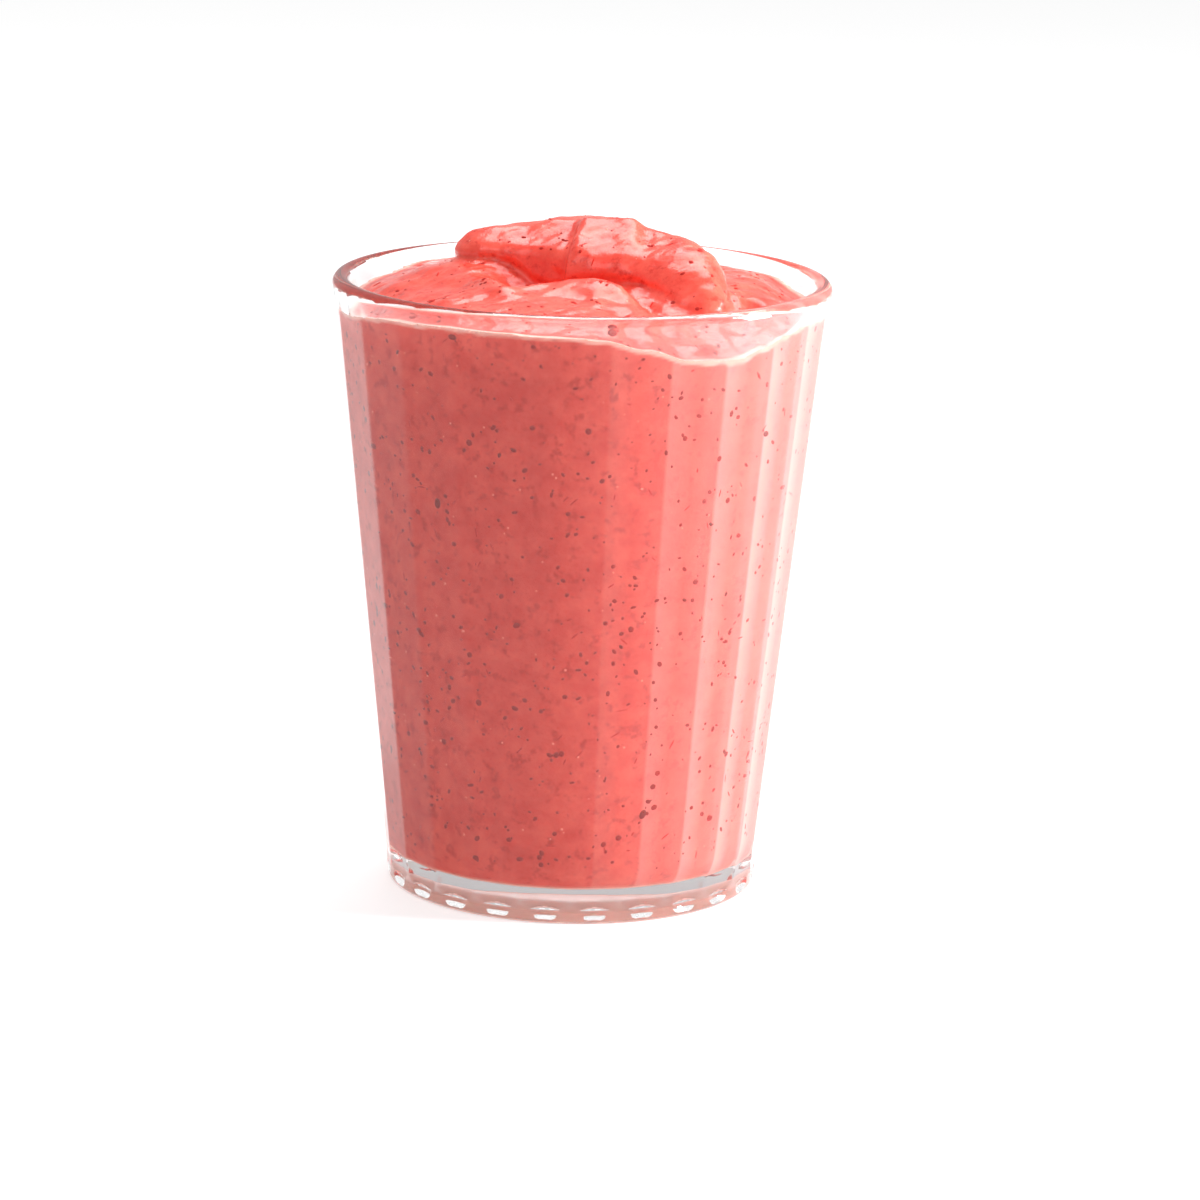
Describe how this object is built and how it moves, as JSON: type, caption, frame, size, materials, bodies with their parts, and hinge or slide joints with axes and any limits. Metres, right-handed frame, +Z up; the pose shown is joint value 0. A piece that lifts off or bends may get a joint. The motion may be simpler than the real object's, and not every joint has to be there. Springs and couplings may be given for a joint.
{
  "type": "strawberry smoothie in a glass tumbler",
  "caption": "Thick strawberry smoothie with a folded swirl on top, in a tapered clear glass tumbler with flat vertical panels and oval prints at the foot.",
  "frame": {"origin": "middle of the foot, on the surface that the glass stands on", "axes": "+Z up along the glass's axis, -Y towards the front, +X to the right"},
  "size_m": [0.0896, 0.0896, 0.1217],
  "materials": {
    "glass": "clear pressed soda-lime glass, fire polished",
    "smoothie": "blended strawberries, wet, opaque, with dark seeds and red flecks"
  },
  "bodies": {
    "root": {"tumbler": "glass", "smoothie": "smoothie"}
  },
  "joints": []
}
